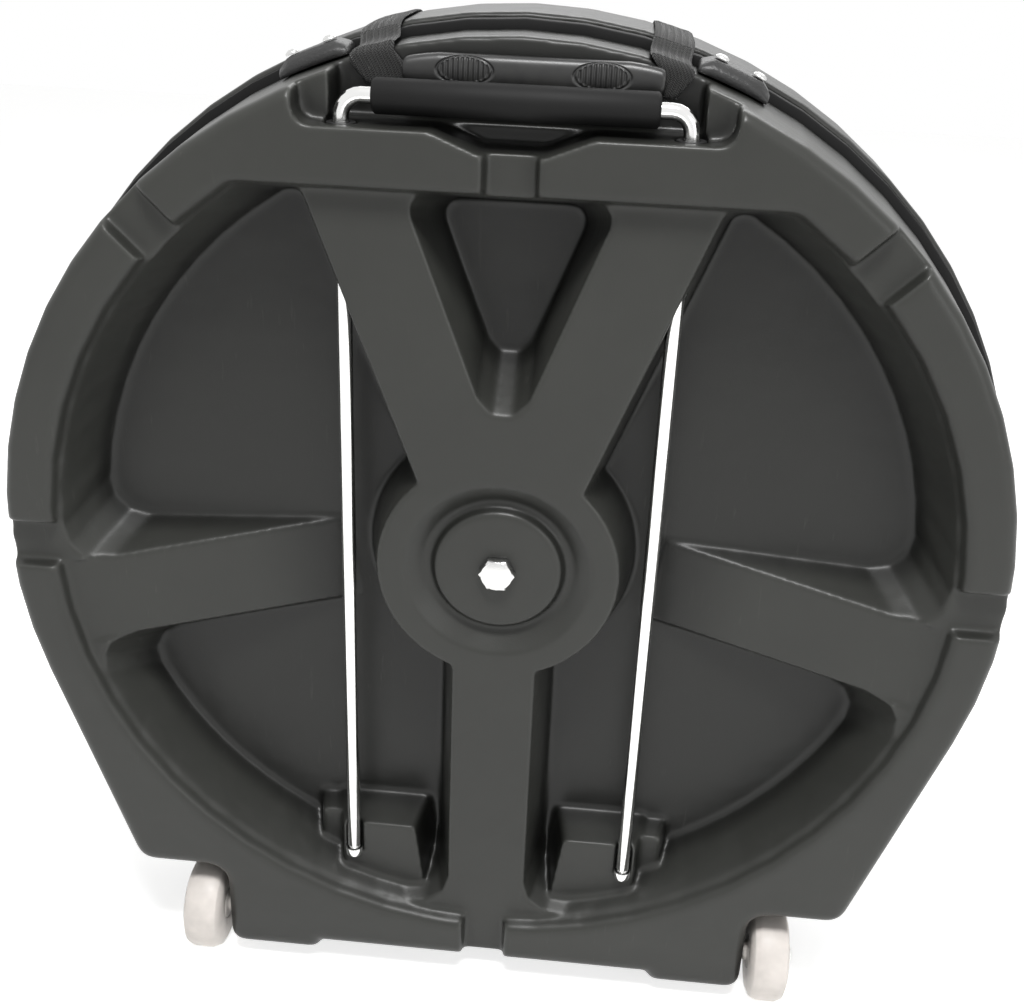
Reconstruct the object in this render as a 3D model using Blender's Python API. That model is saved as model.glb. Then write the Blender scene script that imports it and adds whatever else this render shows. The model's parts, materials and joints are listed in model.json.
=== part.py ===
import bpy
import bmesh
from math import atan2, ceil, cos, pi, radians, sin, sqrt, tan
from mathutils import Matrix, Vector

# Round cymbal case that stands on its edge: a moulded base with wheels and a pull-out handle, and a lid
# that straps on behind it. Metres and degrees. The origin while modelling is the middle of the hub, on
# the plane of the front ring, with x to the right, y into the case and z up.

# Outline of the case, seen from the front
bodyRadius = 0.320
tangentFall = 17.8
heelDrop = 0.257
heelRadius = 0.014
notchRadius = 0.014
footHalfWidth = 0.190
footDrop = 0.3275
footRadius = 0.010
archHalfWidth = 0.125
archDrop = 0.320
archSlope = 0.006
archRadius = 0.003

# Base shell
shellWall = 0.0045
faceRounding = 0.008
baseDepth = 0.076
baseFlare = 0.0036
neckStep = 0.0025
neckLength = 0.020
ringInnerRadius = 0.290
ringEdgeRounding = 0.004
discDepth = 0.010
discRadius = 0.287
wellRimRadius = 0.2855
wellFloor = 0.052
ringLean = 0.417
ribLean = 0.25
wellCornerRadius = 0.025
spokeHalfWidth = 0.0273
spokeAngle = 69.1
bottomSpokeHalfWidth = 0.0275
rampAngle = -9.5
rampHalfWidth = 0.029
rampInnerRadius = 0.105
rampInnerDepth = 0.050
rampLean = 0.45
barBottom = 0.2425
barTop = 0.275
barLean = 0.25
vTipRadius = 0.0164

# Hub
hubRadius = 0.078
dishRadius = 0.0625
grooveRadius = 0.0475
grooveDepth = 0.020
bossRadius = 0.040
bossFace = 0.0125
boltRadius = 0.004

# Channels for a strap across the ring
channelAngles = (0, 45, 90, 135, 180, 270)
channelMouth = 0.0335
channelFloor = 0.0275
channelDepth = 0.010
channelStart = 0.281

# Recess of the handles
recessHalfWidth = 0.122
recessStep = 0.020
recessBackHalfWidth = 0.1045
recessBack = 0.046
recessShoulder = 0.306
recessCorner = 0.010
scoopHalfWidth = 0.048
scoopFloorHalfWidth = 0.018
scoopDrop = 0.011

# Pull-out handle
rodRadius = 0.00475
rodX = 0.098
rodY = 0.020
rodEnd = 0.247
crossBarZ = 0.290
bendRadius = 0.012
pullGripRadius = 0.010
pullGripHalfLength = 0.080
bushRadius = 0.0085
bushLength = 0.012
collarRadius = 0.0060
collarLength = 0.006

# Moulded saddles under the ends of the rods
saddleTop = -0.221
saddleInner = 0.054
saddleOuter = 0.124
saddleFace = 0.0215
saddleLedge = 0.034
saddleLean = 0.25

# Lid
lidStep = 0.012
lidFront = 0.086
lidEdgeRounding = 0.004
lidBack = 0.182
lidRounding = 0.032
lidDiscRadius = 0.290
lidDiscDepth = 0.012
lidHubRadius = 0.078
lidHubRise = 0.009

# Wheels
wheelRadius = 0.034
wheelWidth = 0.027
wheelShoulder = 0.007
wheelBore = 0.012
wheelGap = 0.005
wheelY = 0.020
axleRadius = 0.004
axleHeadRadius = 0.0085
stubWall = 0.0025
axleBossRadius = 0.013
axleBossDepth = 0.008

# Nuts and washers of the wheel axles and the post
nutRadius = 0.0075
nutHeight = 0.006
washerThickness = 0.0015
axleWasherRadius = 0.009

# Post that holds the cymbals
boltHeadRadius = 0.0117
boltHeadHeight = 0.0065
postEnd = 0.150
clampWasherRadius = 0.014
sleeveRadius = 0.008
sleeveEnd = 0.075
flangeRadius = 0.017
feltRadius = 0.020
feltThickness = 0.008
upperFeltY = 0.118
wingHubRadius = 0.008
wingHubHeight = 0.012
wingSpan = 0.022
wingThickness = 0.003
wingRise = 0.004

# Carrying grip
carryShift = 0.008
carryHalfLength = 0.074
carryFront = 0.034
carryBack = 0.045
carryBottom = 0.291
carryTop = 0.3095
carryHingeY = 0.044
carryHingeZ = 0.3115
carryRounding = 0.005
padShift = 0.0385
padHalfLength = 0.0165
padHalfHeight = 0.0075
padRise = 0.0012
ribCount = 7
bandTaper = 0.009

# Straps and soft parts
webWidth = 0.025
webThickness = 0.002
strapLean = 15.0
sealStep = 0.009
padThickness = 0.012
lidPadFront = 0.154
liningThickness = 0.013
liningBack = 0.150
rootFront = 0.030

# Cast anchors beside the bands
anchorStart = 17.9
anchorEnd = 25.6
anchorFront = 0.050
anchorHeight = 0.009
anchorWall = 0.003
rivetRadius = 0.0045
rivetHeight = 0.0025

# Side-release buckles on the back of the lid
plugTop = 0.2705
plugLength = 0.012
plugWidth = 0.033
plugThickness = 0.0086
prongLength = 0.0185
prongWidth = 0.005
prongThickness = 0.004
prongSpread = 0.012
socketLength = 0.0332
socketWidth = 0.038
socketThickness = 0.0092
socketWall = 0.003
plateWidth = 0.030
plateLength = 0.012
plateThickness = 0.0016
tailLength = 0.025
gap = 0.0003

# Ways to name the same place from other pieces
groundDrop = footDrop + lidStep
axleZ = wheelRadius - groundDrop
frontMost = wheelY - wheelRadius
middleY = (frontMost + lidBack) / 2
neckEnd = baseDepth + neckLength
wallBack = wellFloor + shellWall
wheelInner = footHalfWidth + wheelGap
wheelOuter = wheelInner + wheelWidth
postWall = grooveDepth + shellWall
lidRadius = bodyRadius + lidStep
lidFloor = lidBack - lidDiscDepth


# Start from an empty scene
def clearScene():
    for item in list(bpy.data.objects):
        bpy.data.objects.remove(item, do_unlink=True)


def makeMaterial(name, color, roughness, metallic=0.0):
    material = bpy.data.materials.new(name)
    material.use_nodes = True
    shader = material.node_tree.nodes["Principled BSDF"]
    shader.inputs["Base Color"].default_value = (*color, 1.0)
    shader.inputs["Roughness"].default_value = roughness
    shader.inputs["Metallic"].default_value = metallic
    material.diffuse_color = (*color, 1.0)
    return material


def objectFrom(name, mesh):
    item = bpy.data.objects.new(name, mesh)
    bpy.context.collection.objects.link(item)
    return item


# A closed solid from point rows of equal length: each row is joined to the next and both ends are filled
def loft(rows, name="tool"):
    shape = bmesh.new()
    loops = [[shape.verts.new(point) for point in row] for row in rows]
    count = len(rows[0])
    for first, second in zip(loops, loops[1:]):
        for i in range(count):
            j = (i + 1) % count
            shape.faces.new((first[i], first[j], second[j], second[i]))
    shape.faces.new(loops[0])
    shape.faces.new(loops[-1])
    return finishMesh(shape, name)


# A closed solid from rows that come round again to the first one, such as a tyre or a seal
def loopLoft(rows, name="tool"):
    shape = bmesh.new()
    loops = [[shape.verts.new(point) for point in row] for row in rows]
    count = len(rows[0])
    for first, second in zip(loops, loops[1:] + loops[:1]):
        for i in range(count):
            j = (i + 1) % count
            shape.faces.new((first[i], first[j], second[j], second[i]))
    return finishMesh(shape, name)


def finishMesh(shape, name):
    bmesh.ops.recalc_face_normals(shape, faces=shape.faces)
    mesh = bpy.data.meshes.new(name)
    shape.to_mesh(mesh)
    shape.free()
    return objectFrom(name, mesh)


def combine(body, tool, operation):
    modifier = body.modifiers.new(operation, "BOOLEAN")
    modifier.operation = operation
    modifier.object = tool
    modifier.solver = "EXACT"
    result = body.evaluated_get(bpy.context.evaluated_depsgraph_get())
    mesh = bpy.data.meshes.new_from_object(result)
    body.modifiers.clear()
    body.data = mesh
    bpy.data.objects.remove(tool, do_unlink=True)
    return body


def cut(body, *tools):
    for tool in tools:
        combine(body, tool, "DIFFERENCE")
    return body


def fuse(body, *tools):
    for tool in tools:
        combine(body, tool, "UNION")
    return body


# Outline helpers: flat points are (x, z) pairs, counterclockwise seen from the front
def along(angle, distance, side=0.0):
    turn = radians(angle)
    return (distance * cos(turn) - side * sin(turn), distance * sin(turn) + side * cos(turn))


def circle(radius, count=48, centre=(0.0, 0.0)):
    step = 360 / count
    return [(centre[0] + x, centre[1] + z) for x, z in (along(i * step, radius) for i in range(count))]


def arcBetween(centre, radius, start, end, steps):
    return [(centre[0] + radius * cos(start + (end - start) * i / steps),
             centre[1] + radius * sin(start + (end - start) * i / steps)) for i in range(steps + 1)]


def mirrored(points):
    return [(-x, z) for x, z in reversed(points)]


# Rounds each corner (x, z, radius) of an open run of corners between two plain points
def roundedRun(start, corners, end, steps=3):
    points = []
    spots = [start] + [(x, z) for x, z, radius in corners] + [end]
    for i, (x, z, radius) in enumerate(corners):
        before = Vector(spots[i]) - Vector((x, z))
        after = Vector(spots[i + 2]) - Vector((x, z))
        before.normalize()
        after.normalize()
        half = before.angle(after) / 2
        centre = Vector((x, z)) + (before + after).normalized() * radius / sin(half)
        first = Vector((x, z)) + before * radius / tan(half) - centre
        last = Vector((x, z)) + after * radius / tan(half) - centre
        begin = atan2(first.y, first.x)
        finish = atan2(last.y, last.x)
        if finish - begin > pi:
            finish -= 2 * pi
        if finish - begin < -pi:
            finish += 2 * pi
        points += arcBetween(centre, radius, begin, finish, steps)
    return points


def roundedPolygon(corners, steps=3):
    first = corners[0][:2]
    last = corners[-1][:2]
    return roundedRun(last, corners, first, steps)


# The case's outline, pushed out by grow
def caseOutline(grow=0.0, step=6.0):
    fall = radians(tangentFall)
    radius = bodyRadius + grow
    ledge = -(heelDrop + grow)
    heelX = (radius + ledge * sin(fall)) / cos(fall)
    side = footHalfWidth + grow
    foot = -(footDrop + grow)
    arch = -(archDrop + grow)
    convex = max(grow, -0.008)
    corners = [
        (-heelX, ledge, heelRadius + convex),
        (-side, ledge, max(notchRadius - grow, 0.002)),
        (-side, foot, max(footRadius + convex, 0.002)),
        (-archHalfWidth + grow, foot, archRadius),
        (-archHalfWidth + archSlope + grow, arch, archRadius),
    ]
    corners += [(-x, z, size) for x, z, size in reversed(corners)]
    steps = ceil((180 + 2 * tangentFall) / step)
    top = arcBetween((0, 0), radius, -fall, pi + fall, steps)
    return top + roundedRun(top[-1], corners, top[0])


# A solid with the case's outline: sections are (depth, grow) pairs
def caseBlock(sections, name="tool"):
    return loft([[(x, depth, z) for x, z in caseOutline(grow)] for depth, grow in sections], name)


# How far the base's outer side has spread at a depth
def flareAt(depth):
    return baseFlare * (depth - faceRounding) / (baseDepth - faceRounding)


def baseSurface(depth):
    return bodyRadius + flareAt(depth)


# A closed band that follows the case's outline, from a profile of (depth, grow) pairs
def caseBand(profile, name):
    return loopLoft([[(x, depth, z) for x, z in caseOutline(grow)] for depth, grow in profile], name)


# Quarter round at a face: (depth, inset) pairs from the face plane to the full outline
def quarterRound(radius, steps=3):
    turns = [pi / 2 * i / steps for i in range(steps + 1)]
    return [(radius * (1 - cos(turn)), radius * (1 - sin(turn))) for turn in turns]


def prismY(points, start, end, name="tool"):
    return loft([[(x, depth, z) for x, z in points] for depth in (start, end)], name)


# Turned about the y axis through (x, z): profile is (depth, radius) pairs from end to end
def turnedY(profile, centre=(0.0, 0.0), count=48, name="tool"):
    return loft([[(x, depth, z) for x, z in circle(radius, count, centre)] for depth, radius in profile], name)


def ringY(profile, centre=(0.0, 0.0), count=48, name="tool"):
    return loopLoft([[(x, depth, z) for x, z in circle(radius, count, centre)] for depth, radius in profile], name)


# Turned about an axis along x: profile is (x, radius) pairs
def turnedX(profile, y, z, count=32, name="tool", closed=False):
    rows = [[(x, y + a, z + b) for a, b in circle(radius, count)] for x, radius in profile]
    return loopLoft(rows, name) if closed else loft(rows, name)


# Turned about an axis along z: profile is (z, radius) pairs
def turnedZ(profile, x, y, count=24, name="tool", closed=False):
    rows = [[(x + a, y + b, height) for a, b in circle(radius, count)] for height, radius in profile]
    return loopLoft(rows, name) if closed else loft(rows, name)


# Walls of a well. A straight wall runs along an angle with the well on its left; a round one has the well
# inside it. Both lean into the well by their lean for each unit of depth.
def straightWall(point, angle, lean):
    turn = radians(angle)
    normal = (sin(turn), -cos(turn))
    return {"normal": normal, "offset": normal[0] * point[0] + normal[1] * point[1], "lean": lean}


def roundWall(radius, lean):
    return {"radius": radius, "lean": lean}


def shifted(wall, inwards):
    moved = dict(wall)
    key = "radius" if "radius" in wall else "offset"
    moved[key] = wall[key] - inwards
    return moved


# Centre and the two touching points of the round that fills the corner between two walls
def cornerRound(first, second, radius):
    a = shifted(first, radius)
    b = shifted(second, radius)
    if "radius" in a or "radius" in b:
        ring, flat, way = (b, a, 1) if "radius" in b else (a, b, -1)
        n = flat["normal"]
        reach = way * sqrt(ring["radius"] ** 2 - flat["offset"] ** 2)
        centre = (n[0] * flat["offset"] - n[1] * reach, n[1] * flat["offset"] + n[0] * reach)
        out = atan2(centre[1], centre[0])
        level = atan2(n[1], n[0])
        begin, finish = (level, out) if way == 1 else (out, level)
    else:
        n = a["normal"]
        m = b["normal"]
        det = n[0] * m[1] - n[1] * m[0]
        centre = ((a["offset"] * m[1] - b["offset"] * n[1]) / det, (n[0] * b["offset"] - m[0] * a["offset"]) / det)
        begin = atan2(n[1], n[0])
        finish = atan2(m[1], m[0])
    while finish < begin:
        finish += 2 * pi
    return centre, begin, finish


# One level of a well: rounds are the radii of the corners after each wall
def wellOutline(walls, rounds, steps=3, arcSteps=10):
    count = len(walls)
    corners = [cornerRound(walls[i], walls[(i + 1) % count], rounds[i]) for i in range(count)]
    points = []
    for i in range(count):
        if "radius" in walls[i]:
            centre, begin, finish = corners[i - 1]
            start = atan2(centre[1], centre[0])
            centre, begin, finish = corners[i]
            end = atan2(centre[1], centre[0])
            while end < start:
                end += 2 * pi
            points += arcBetween((0, 0), walls[i]["radius"], start, end, arcSteps)[1:-1]
        centre, begin, finish = corners[i]
        points += arcBetween(centre, rounds[i], begin, finish, steps)
    return points


# A well cut down from one depth to another; thick widens and deepens it by a wall
def well(walls, rounds, top, floor, thick=0.0, mirror=False, arcSteps=10):
    rows = []
    for depth in (top, floor + thick):
        reach = depth - discDepth
        level = [shifted(wall, wall["lean"] * reach - thick) for wall in walls]
        points = wellOutline(level, rounds, arcSteps=arcSteps)
        points = mirrored(points) if mirror else points
        rows.append([(x, depth, z) for x, z in points])
    return loft(rows)


def spokeWall(angle, side, halfWidth, outwards=True):
    return straightWall(along(angle, 0.1, side * halfWidth), angle if outwards else angle + 180, ribLean)


def rampWall(side, outwards):
    fall = rampLean * (rampInnerDepth - discDepth) / (discRadius - rampInnerRadius)
    skew = side * atan2(fall, 1) * 180 / pi
    point = along(rampAngle, discRadius, side * rampHalfWidth)
    return straightWall(point, rampAngle + skew + (0 if outwards else 180), rampLean)


def wellCutters(thick=0.0):
    top = discDepth if thick == 0 else 0.0
    ring = roundWall(wellRimRadius, ringLean)
    bar = straightWall((0, barBottom - barLean * discDepth), 180, barLean)
    small = 0.006
    vWell = [spokeWall(spokeAngle, 1, spokeHalfWidth), bar,
             spokeWall(180 - spokeAngle, -1, spokeHalfWidth, False)]
    upper = [rampWall(1, True), ring, bar, spokeWall(spokeAngle, -1, spokeHalfWidth, False)]
    lower = [spokeWall(270, 1, bottomSpokeHalfWidth), ring, rampWall(-1, False)]
    upperRounds = [wellCornerRadius, 0.010, 0.008, small]
    lowerRounds = [wellCornerRadius, wellCornerRadius, small]
    cutters = [well(vWell, [0.010, 0.010, vTipRadius], top, wellFloor, thick)]
    for mirror in (False, True):
        cutters.append(well(upper, upperRounds, top, wellFloor, thick, mirror))
        cutters.append(well(lower, lowerRounds, top, wellFloor, thick, mirror, 12))
    return cutters


# The slope of each side rib, which falls from the ring to the floor beside the hub
def rampCutters(thick=0.0):
    top = discDepth - gap
    deep = thick * 1.02
    profile = [(0.03, top), (wellRimRadius, top), (wellRimRadius, discDepth + deep),
               (rampInnerRadius, rampInnerDepth + deep), (rampInnerRadius - 0.002, wellFloor + thick),
               (0.03, wellFloor + thick)]
    cutters = []
    for mirror in (1, -1):
        rows = []
        for side in (-rampHalfWidth - 0.002, rampHalfWidth + 0.002):
            flat = [along(rampAngle, reach, side) for reach, depth in profile]
            rows.append([(mirror * x, depth, z) for (x, z), (reach, depth) in zip(flat, profile)])
        cutters.append(loft(rows))
    return cutters


# The round sunk face inside the ring, with the top bar left standing
def discCutter(thick=0.0):
    bar = straightWall((0, barBottom), 180, barLean)
    lean = (ringInnerRadius - discRadius) / discDepth
    rows = []
    levels = [(-0.002, ringEdgeRounding)]
    levels += [(depth, inset) for depth, inset in quarterRound(ringEdgeRounding)]
    levels = levels if thick == 0 else [(-0.002, 0.0)]
    levels += [(discDepth + thick, 0.0)]
    for depth, flare in levels:
        reach = max(depth, 0.0)
        ring = roundWall(ringInnerRadius + thick + flare - lean * min(reach, discDepth), 0)
        edge = shifted(bar, barLean * min(reach, discDepth) - thick - flare * 0.5)
        points = wellOutline([ring, edge], [0.014, 0.014], arcSteps=40)
        rows.append([(x, depth, z) for x, z in points])
    return loft(rows)


def channelCutters(depth, mouth, floor, start, face, thick=0.0, angles=channelAngles, way=1):
    cutters = []
    deep = depth + thick * 1.08
    for angle in angles:
        rows = []
        inner = barBottom - 0.008 if angle == 90 and way == 1 else start
        for reach in (inner, bodyRadius + 0.025):
            ends = []
            for side, level in ((-mouth, -0.002), (mouth, -0.002), (floor, deep), (-floor, deep)):
                offset = side / 2 + (thick if side > 0 else -thick)
                x, z = along(angle, reach, offset)
                ends.append((x, face + way * level, z))
            rows.append(ends)
        cutters.append(loft(rows))
    return cutters


# Everything that is taken away at the top for the two handles
def recessCutters(thick=0.0):
    high = bodyRadius + 0.030
    floor = barTop - thick
    wide = recessHalfWidth + thick
    back = recessBackHalfWidth + thick
    shoulder = recessShoulder - thick
    corner = recessCorner
    front = roundedPolygon([(wide, floor, corner), (wide, high, 0.001), (-wide, high, 0.001), (-wide, floor, corner)])
    right = [(back, floor, 0.004), (back, shoulder, 0.006), (wide, shoulder, 0.003), (wide, high, 0.001)]
    rear = roundedPolygon(right + [(-x, z, size) for x, z, size in reversed(right)])
    drop = floor - scoopDrop
    scoop = [(-scoopHalfWidth - thick, floor + 0.001), (-scoopFloorHalfWidth, drop), (scoopFloorHalfWidth, drop),
             (scoopHalfWidth + thick, floor + 0.001)]
    return [
        prismY(front, -0.002, recessStep + thick),
        prismY(rear, recessStep - 0.001, recessBack + thick),
        prismY(scoop, -0.002, recessBack - 0.006 + thick),
    ]


# Raised saddle at the end of each rod: inner half under the rod, outer half a lower ledge
def saddleBlocks(thick=0.0):
    blocks = []
    for mirror in (False, True):
        for inner, outer, face in ((saddleInner, rodX + 0.008, saddleFace), (rodX + 0.004, saddleOuter, saddleLedge)):
            rows = []
            for depth in (face + thick, wellFloor + 0.004):
                spread = saddleLean * (depth - face) - thick
                low = -(wellRimRadius + 0.004)
                corners = [(inner - spread, low, 0.003), (outer + spread, low, 0.003),
                           (outer + spread, saddleTop + spread, 0.004), (inner - spread, saddleTop + spread, 0.004)]
                if inner == saddleInner:
                    corners[0] = (inner - spread - 0.010, low, 0.003)
                points = roundedPolygon(corners)
                points = mirrored(points) if mirror else points
                rows.append([(x, depth, z) for x, z in points])
            blocks.append(loft(rows))
    return blocks


def rodSeats():
    seats = []
    for side in (-1, 1):
        x = side * rodX
        bottom = -rodEnd - gap
        seats.append(turnedZ([(bottom, collarRadius + gap), (saddleTop + 0.02, collarRadius + gap)], x, rodY))
        wide = collarRadius + gap
        box = [(x - wide, bottom), (x + wide, bottom), (x + wide, saddleTop + 0.02), (x - wide, saddleTop + 0.02)]
        seats.append(prismY(box, 0.012, rodY))
    return seats


def buildBaseShell(material):
    outer = [(depth, -inset) for depth, inset in quarterRound(faceRounding)]
    outer += [(baseDepth, baseFlare), (baseDepth, -neckStep), (neckEnd, -neckStep)]
    shell = caseBlock(outer, "base_shell")
    cut(shell, discCutter(), *wellCutters(), *rampCutters())
    hubLean = ribLean
    fuse(shell, turnedY([(discDepth, hubRadius), (wellFloor + 0.002, hubRadius + hubLean * (wellFloor - discDepth))]))
    cut(shell, turnedY([(discDepth - 0.002, dishRadius + 0.002), (grooveDepth, grooveRadius)]))
    fuse(shell, turnedY([(bossFace, bossRadius), (bossFace + 0.001, bossRadius + 0.001), (grooveDepth + 0.001, bossRadius + 0.004)]))
    cut(shell, *channelCutters(channelDepth, channelMouth, channelFloor, channelStart, 0.0))
    cut(shell, *recessCutters())
    fuse(shell, *saddleBlocks())
    cut(shell, *rodSeats())

    innerNeck = -(neckStep + shellWall)
    hollow = caseBlock([(shellWall, -faceRounding - 0.002), (faceRounding, -shellWall), (0.060, innerNeck),
                        (neckEnd + 0.002, innerNeck)])
    cut(hollow, discCutter(shellWall), *wellCutters(shellWall), *rampCutters(shellWall))
    hubInner = hubRadius - shellWall
    hubBack = wellFloor + shellWall + 0.001
    fuse(hollow, turnedY([(discDepth + shellWall, hubInner), (hubBack, hubInner + hubLean * (hubBack - discDepth))]))
    cut(hollow, turnedY([(0.0, dishRadius + shellWall), (grooveDepth + shellWall, grooveRadius + shellWall)]))
    cut(hollow, *channelCutters(channelDepth, channelMouth, channelFloor, discRadius + 0.001, 0.0, shellWall))
    cut(hollow, *recessCutters(shellWall))
    for side in (-1, 1):
        inside = side * (footHalfWidth - shellWall - axleBossDepth)
        cut(hollow, turnedX([(inside, axleBossRadius), (side * footHalfWidth, axleBossRadius)], wheelY, axleZ, 24))
    cut(shell, hollow)

    cut(shell, turnedY([(0.0, boltRadius + gap), (0.04, boltRadius + gap)], count=24))
    for side in (-1, 1):
        inside = side * (footHalfWidth - 0.03)
        cut(shell, turnedX([(inside, axleRadius + gap), (side * (footHalfWidth + 0.01), axleRadius + gap)],
                           wheelY, axleZ, 20))
        cut(shell, turnedZ([(barTop - 0.012, bushRadius + gap), (barTop + 0.003, bushRadius + gap)], side * rodX, rodY, 32))
        cut(shell, turnedZ([(0.110, rodRadius + 0.0005), (barTop - 0.010, rodRadius + 0.0005)], side * rodX, rodY, 16))
    return dress(shell, material)


def dress(item, material, sharp=35.0, name=None):
    if name:
        item.name = name
        item.data.name = name
    item.data.materials.clear()
    item.data.materials.append(material)
    item.data.shade_smooth()
    item.data.set_sharp_from_angle(angle=radians(sharp))
    return item


def buildLidShell(material):
    outer = [(lidFront + depth, lidStep - inset) for depth, inset in quarterRound(lidEdgeRounding, 2)]
    back = list(reversed(quarterRound(lidRounding)))
    outer += [(lidBack - depth, lidStep - inset) for depth, inset in back]
    shell = caseBlock(outer, "lid_shell")
    floor = lidBack - lidDiscDepth
    cut(shell, turnedY([(floor, lidDiscRadius - 0.003), (lidBack + 0.002, lidDiscRadius)], count=60))
    fuse(shell, turnedY([(floor - 0.001, lidHubRadius + 0.002), (floor + lidHubRise, lidHubRadius)]))
    angles = (0, 45, 135, 180, 90 - strapLean, 90 + strapLean, 270)
    cut(shell, *channelCutters(channelDepth, channelMouth, channelFloor, channelStart, lidBack, 0.0, angles, -1))

    inner = lidStep - shellWall
    round2 = lidRounding - shellWall
    hollow = caseBlock([(lidFront - 0.002, inner)] + [(lidBack - shellWall - depth, inner - inset)
                       for depth, inset in reversed(quarterRound(round2))])
    cut(hollow, turnedY([(floor - shellWall, lidDiscRadius + shellWall), (lidBack + 0.002, lidDiscRadius + shellWall)], count=48))
    fuse(hollow, turnedY([(floor - shellWall - 0.001, lidHubRadius - shellWall + 0.002), (floor + lidHubRise - shellWall, lidHubRadius - shellWall)]))
    cut(hollow, *channelCutters(channelDepth, channelMouth, channelFloor, channelStart - shellWall, lidBack, shellWall, angles, -1))
    cut(shell, hollow)
    return dress(shell, material)



# A hexagon with as many points as a circle of the same count
def hexagon(radius, count=24):
    points = []
    for i in range(count):
        turn = radians(i * 360 / count)
        inside = turn % (pi / 3) - pi / 6
        reach = radius * cos(pi / 6) / cos(inside)
        points.append((reach * cos(turn), reach * sin(turn)))
    return points


def rowY(points, depth):
    return [(x, depth, z) for x, z in points]


def buildPost(steel, felt, plastic):
    head = bossFace - gap
    shank = circle(boltRadius, 24)
    rows = [rowY(circle(boltHeadRadius * 0.86, 24), head - boltHeadHeight),
            rowY(hexagon(boltHeadRadius), head - boltHeadHeight + 0.0008), rowY(hexagon(boltHeadRadius), head),
            rowY(shank, head), rowY(shank, postEnd - 0.001), rowY(circle(boltRadius - 0.001, 24), postEnd)]
    dress(loft(rows, "post_bolt"), steel)
    bore = boltRadius + gap
    start = postWall + gap
    dress(washerY("clamp_washer", bore, clampWasherRadius, start, start + washerThickness), steel)
    start += washerThickness + gap
    dress(nutY("clamp_nut", bore, start, start + nutHeight), steel)
    start += nutHeight + gap
    profile = [(start, bore), (start, sleeveRadius), (sleeveEnd - 0.002, sleeveRadius),
               (sleeveEnd - 0.002, flangeRadius), (sleeveEnd, flangeRadius), (sleeveEnd, bore)]
    dress(ringY(profile, count=24, name="post_sleeve"), plastic)
    dress(washerY("lower_felt", bore, feltRadius, sleeveEnd + gap, sleeveEnd + gap + feltThickness), felt)
    dress(washerY("upper_felt", bore, feltRadius, upperFeltY, upperFeltY + feltThickness), felt)
    start = upperFeltY + feltThickness + gap
    end = start + wingHubHeight
    nut = turnedY([(start, wingHubRadius + 0.002), (start + 0.003, wingHubRadius), (end, wingHubRadius - 0.001)],
                  count=24, name="wing_nut")
    for side in (-1, 1):
        corners = [(side * 0.003, start + 0.002), (side * wingSpan * 0.8, start + 0.003),
                   (side * wingSpan, end), (side * wingSpan * 0.8, end + wingRise), (side * 0.004, end - 0.001)]
        rows = [[(x, y, level) for x, y in corners] for level in (-wingThickness / 2, wingThickness / 2)]
        fuse(nut, loft(rows))
    cut(nut, turnedY([(start - 0.002, bore), (end + 0.002, bore)], count=24))
    dress(nut, steel)


def washerY(name, inner, outer, start, end):
    return ringY([(start, inner), (start, outer), (end, outer), (end, inner)], count=24, name=name)


def nutY(name, inner, start, end):
    bore = circle(inner, 24)
    side = hexagon(nutRadius)
    return loopLoft([rowY(bore, start), rowY(side, start), rowY(side, end), rowY(bore, end)], name)


def buildSoftParts(foam, rubber):
    front = wallBack + gap
    inside = -(neckStep + shellWall + 0.0005)
    pad = caseBlock([(front, inside), (front + padThickness, inside)], "base_foam")
    cut(pad, turnedY([(front - 0.01, 0.012), (front + 0.03, 0.012)], count=32))
    dress(pad, foam)
    back = lidFloor - shellWall - gap
    dress(caseBlock([(lidPadFront, 0.0), (back, 0.0)], "lid_foam"), foam)
    outer = lidStep - shellWall - gap
    inner = outer - liningThickness
    start = neckEnd + gap
    dress(caseBand([(start, inner), (start, outer), (liningBack, outer), (liningBack, inner)], "lid_lining"), foam)
    inner = -neckStep + gap
    start = baseDepth + gap
    end = lidFront - gap
    profile = [(start, inner), (start, sealStep), (end, sealStep), (end, inner)]
    dress(caseBand(profile, "rim_seal"), rubber)


# A round tube along points that lie in a plane of equal y
def tube(path, depth, radius, name, count=16):
    rows = []
    for i, (x, z) in enumerate(path):
        before = path[max(i - 1, 0)]
        after = path[min(i + 1, len(path) - 1)]
        way = Vector((after[0] - before[0], after[1] - before[1])).normalized()
        side = Vector((way.y, -way.x))
        rows.append([(x + side.x * a, depth + b, z + side.y * a) for a, b in circle(radius, count)])
    return loft(rows, name)


def buildPullHandle(chrome, rubber, plastic):
    top = crossBarZ - bendRadius
    edge = rodX - bendRadius
    right = arcBetween((edge, top), bendRadius, 0, pi / 2, 6)
    path = [(rodX, -rodEnd)] + right
    path += [(-x, z) for x, z in reversed(path)]
    dress(tube(path, rodY, rodRadius, "pull_tube"), chrome)
    end = pullGripHalfLength
    bore = rodRadius + gap
    profile = [(-end, bore), (-end, pullGripRadius - 0.0015), (-end + 0.002, pullGripRadius), (end - 0.002, pullGripRadius),
               (end, pullGripRadius - 0.0015), (end, bore)]
    dress(turnedX(profile, rodY, crossBarZ, 24, "pull_grip", True), rubber)
    for side, word in ((-1, "left"), (1, "right")):
        low = barTop - bushLength
        profile = [(low, bore), (low, bushRadius), (barTop, bushRadius), (barTop, bore)]
        dress(turnedZ(profile, side * rodX, rodY, 20, f"guide_bush_{word}", True), plastic)
        low = -rodEnd
        high = low + collarLength
        profile = [(low, bore), (low, collarRadius), (high, collarRadius), (high, bore)]
        dress(turnedZ(profile, side * rodX, rodY, 16, f"rod_collar_{word}", True), chrome)


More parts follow.
